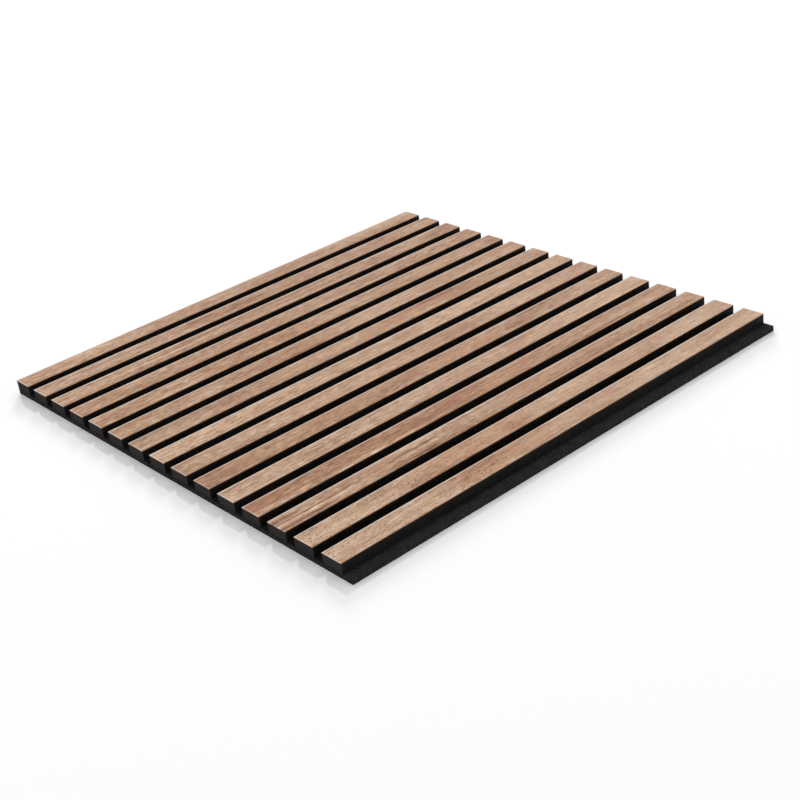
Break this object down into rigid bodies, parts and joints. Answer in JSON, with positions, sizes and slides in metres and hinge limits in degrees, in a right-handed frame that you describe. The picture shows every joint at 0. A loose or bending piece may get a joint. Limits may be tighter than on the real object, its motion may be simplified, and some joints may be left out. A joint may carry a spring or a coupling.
{
  "type": "slat wall panel",
  "caption": "Square acoustic wall panel: straight wood-veneered slats side by side on a dark felt backing, with a bare felt strip along an edge for the next panel.",
  "frame": {"origin": "centre of the felt's back, on the surface that the panel lies on", "axes": "+Z out of the wall through the veneered faces, +Y along the slats, +X across the slats towards the bare felt strip"},
  "size_m": [0.6, 0.6, 0.017],
  "materials": {
    "walnut_veneer": "matt oiled walnut veneer, straight grain along the slat",
    "black_fibreboard": "black dyed fibreboard, matt painted sides and sawn ends",
    "charcoal_felt": "needled polyester felt, matt charcoal with paler fibres",
    "staple_wire": "galvanised flat staple wire"
  },
  "bodies": {
    "root": {"felt_backing": "charcoal_felt", "back_staples": "staple_wire", "slat_core_01": "black_fibreboard", "slat_veneer_01": "walnut_veneer", "slat_core_02": "black_fibreboard", "slat_veneer_02": "walnut_veneer", "slat_core_03": "black_fibreboard", "slat_veneer_03": "walnut_veneer", "slat_core_04": "black_fibreboard", "slat_veneer_04": "walnut_veneer", "slat_core_05": "black_fibreboard", "slat_veneer_05": "walnut_veneer", "slat_core_06": "black_fibreboard", "slat_veneer_06": "walnut_veneer", "slat_core_07": "black_fibreboard", "slat_veneer_07": "walnut_veneer", "slat_core_08": "black_fibreboard", "slat_veneer_08": "walnut_veneer", "slat_core_09": "black_fibreboard", "slat_veneer_09": "walnut_veneer", "slat_core_10": "black_fibreboard", "slat_veneer_10": "walnut_veneer", "slat_core_11": "black_fibreboard", "slat_veneer_11": "walnut_veneer", "slat_core_12": "black_fibreboard", "slat_veneer_12": "walnut_veneer", "slat_core_13": "black_fibreboard", "slat_veneer_13": "walnut_veneer", "slat_core_14": "black_fibreboard", "slat_veneer_14": "walnut_veneer", "slat_core_15": "black_fibreboard", "slat_veneer_15": "walnut_veneer"}
  },
  "joints": []
}
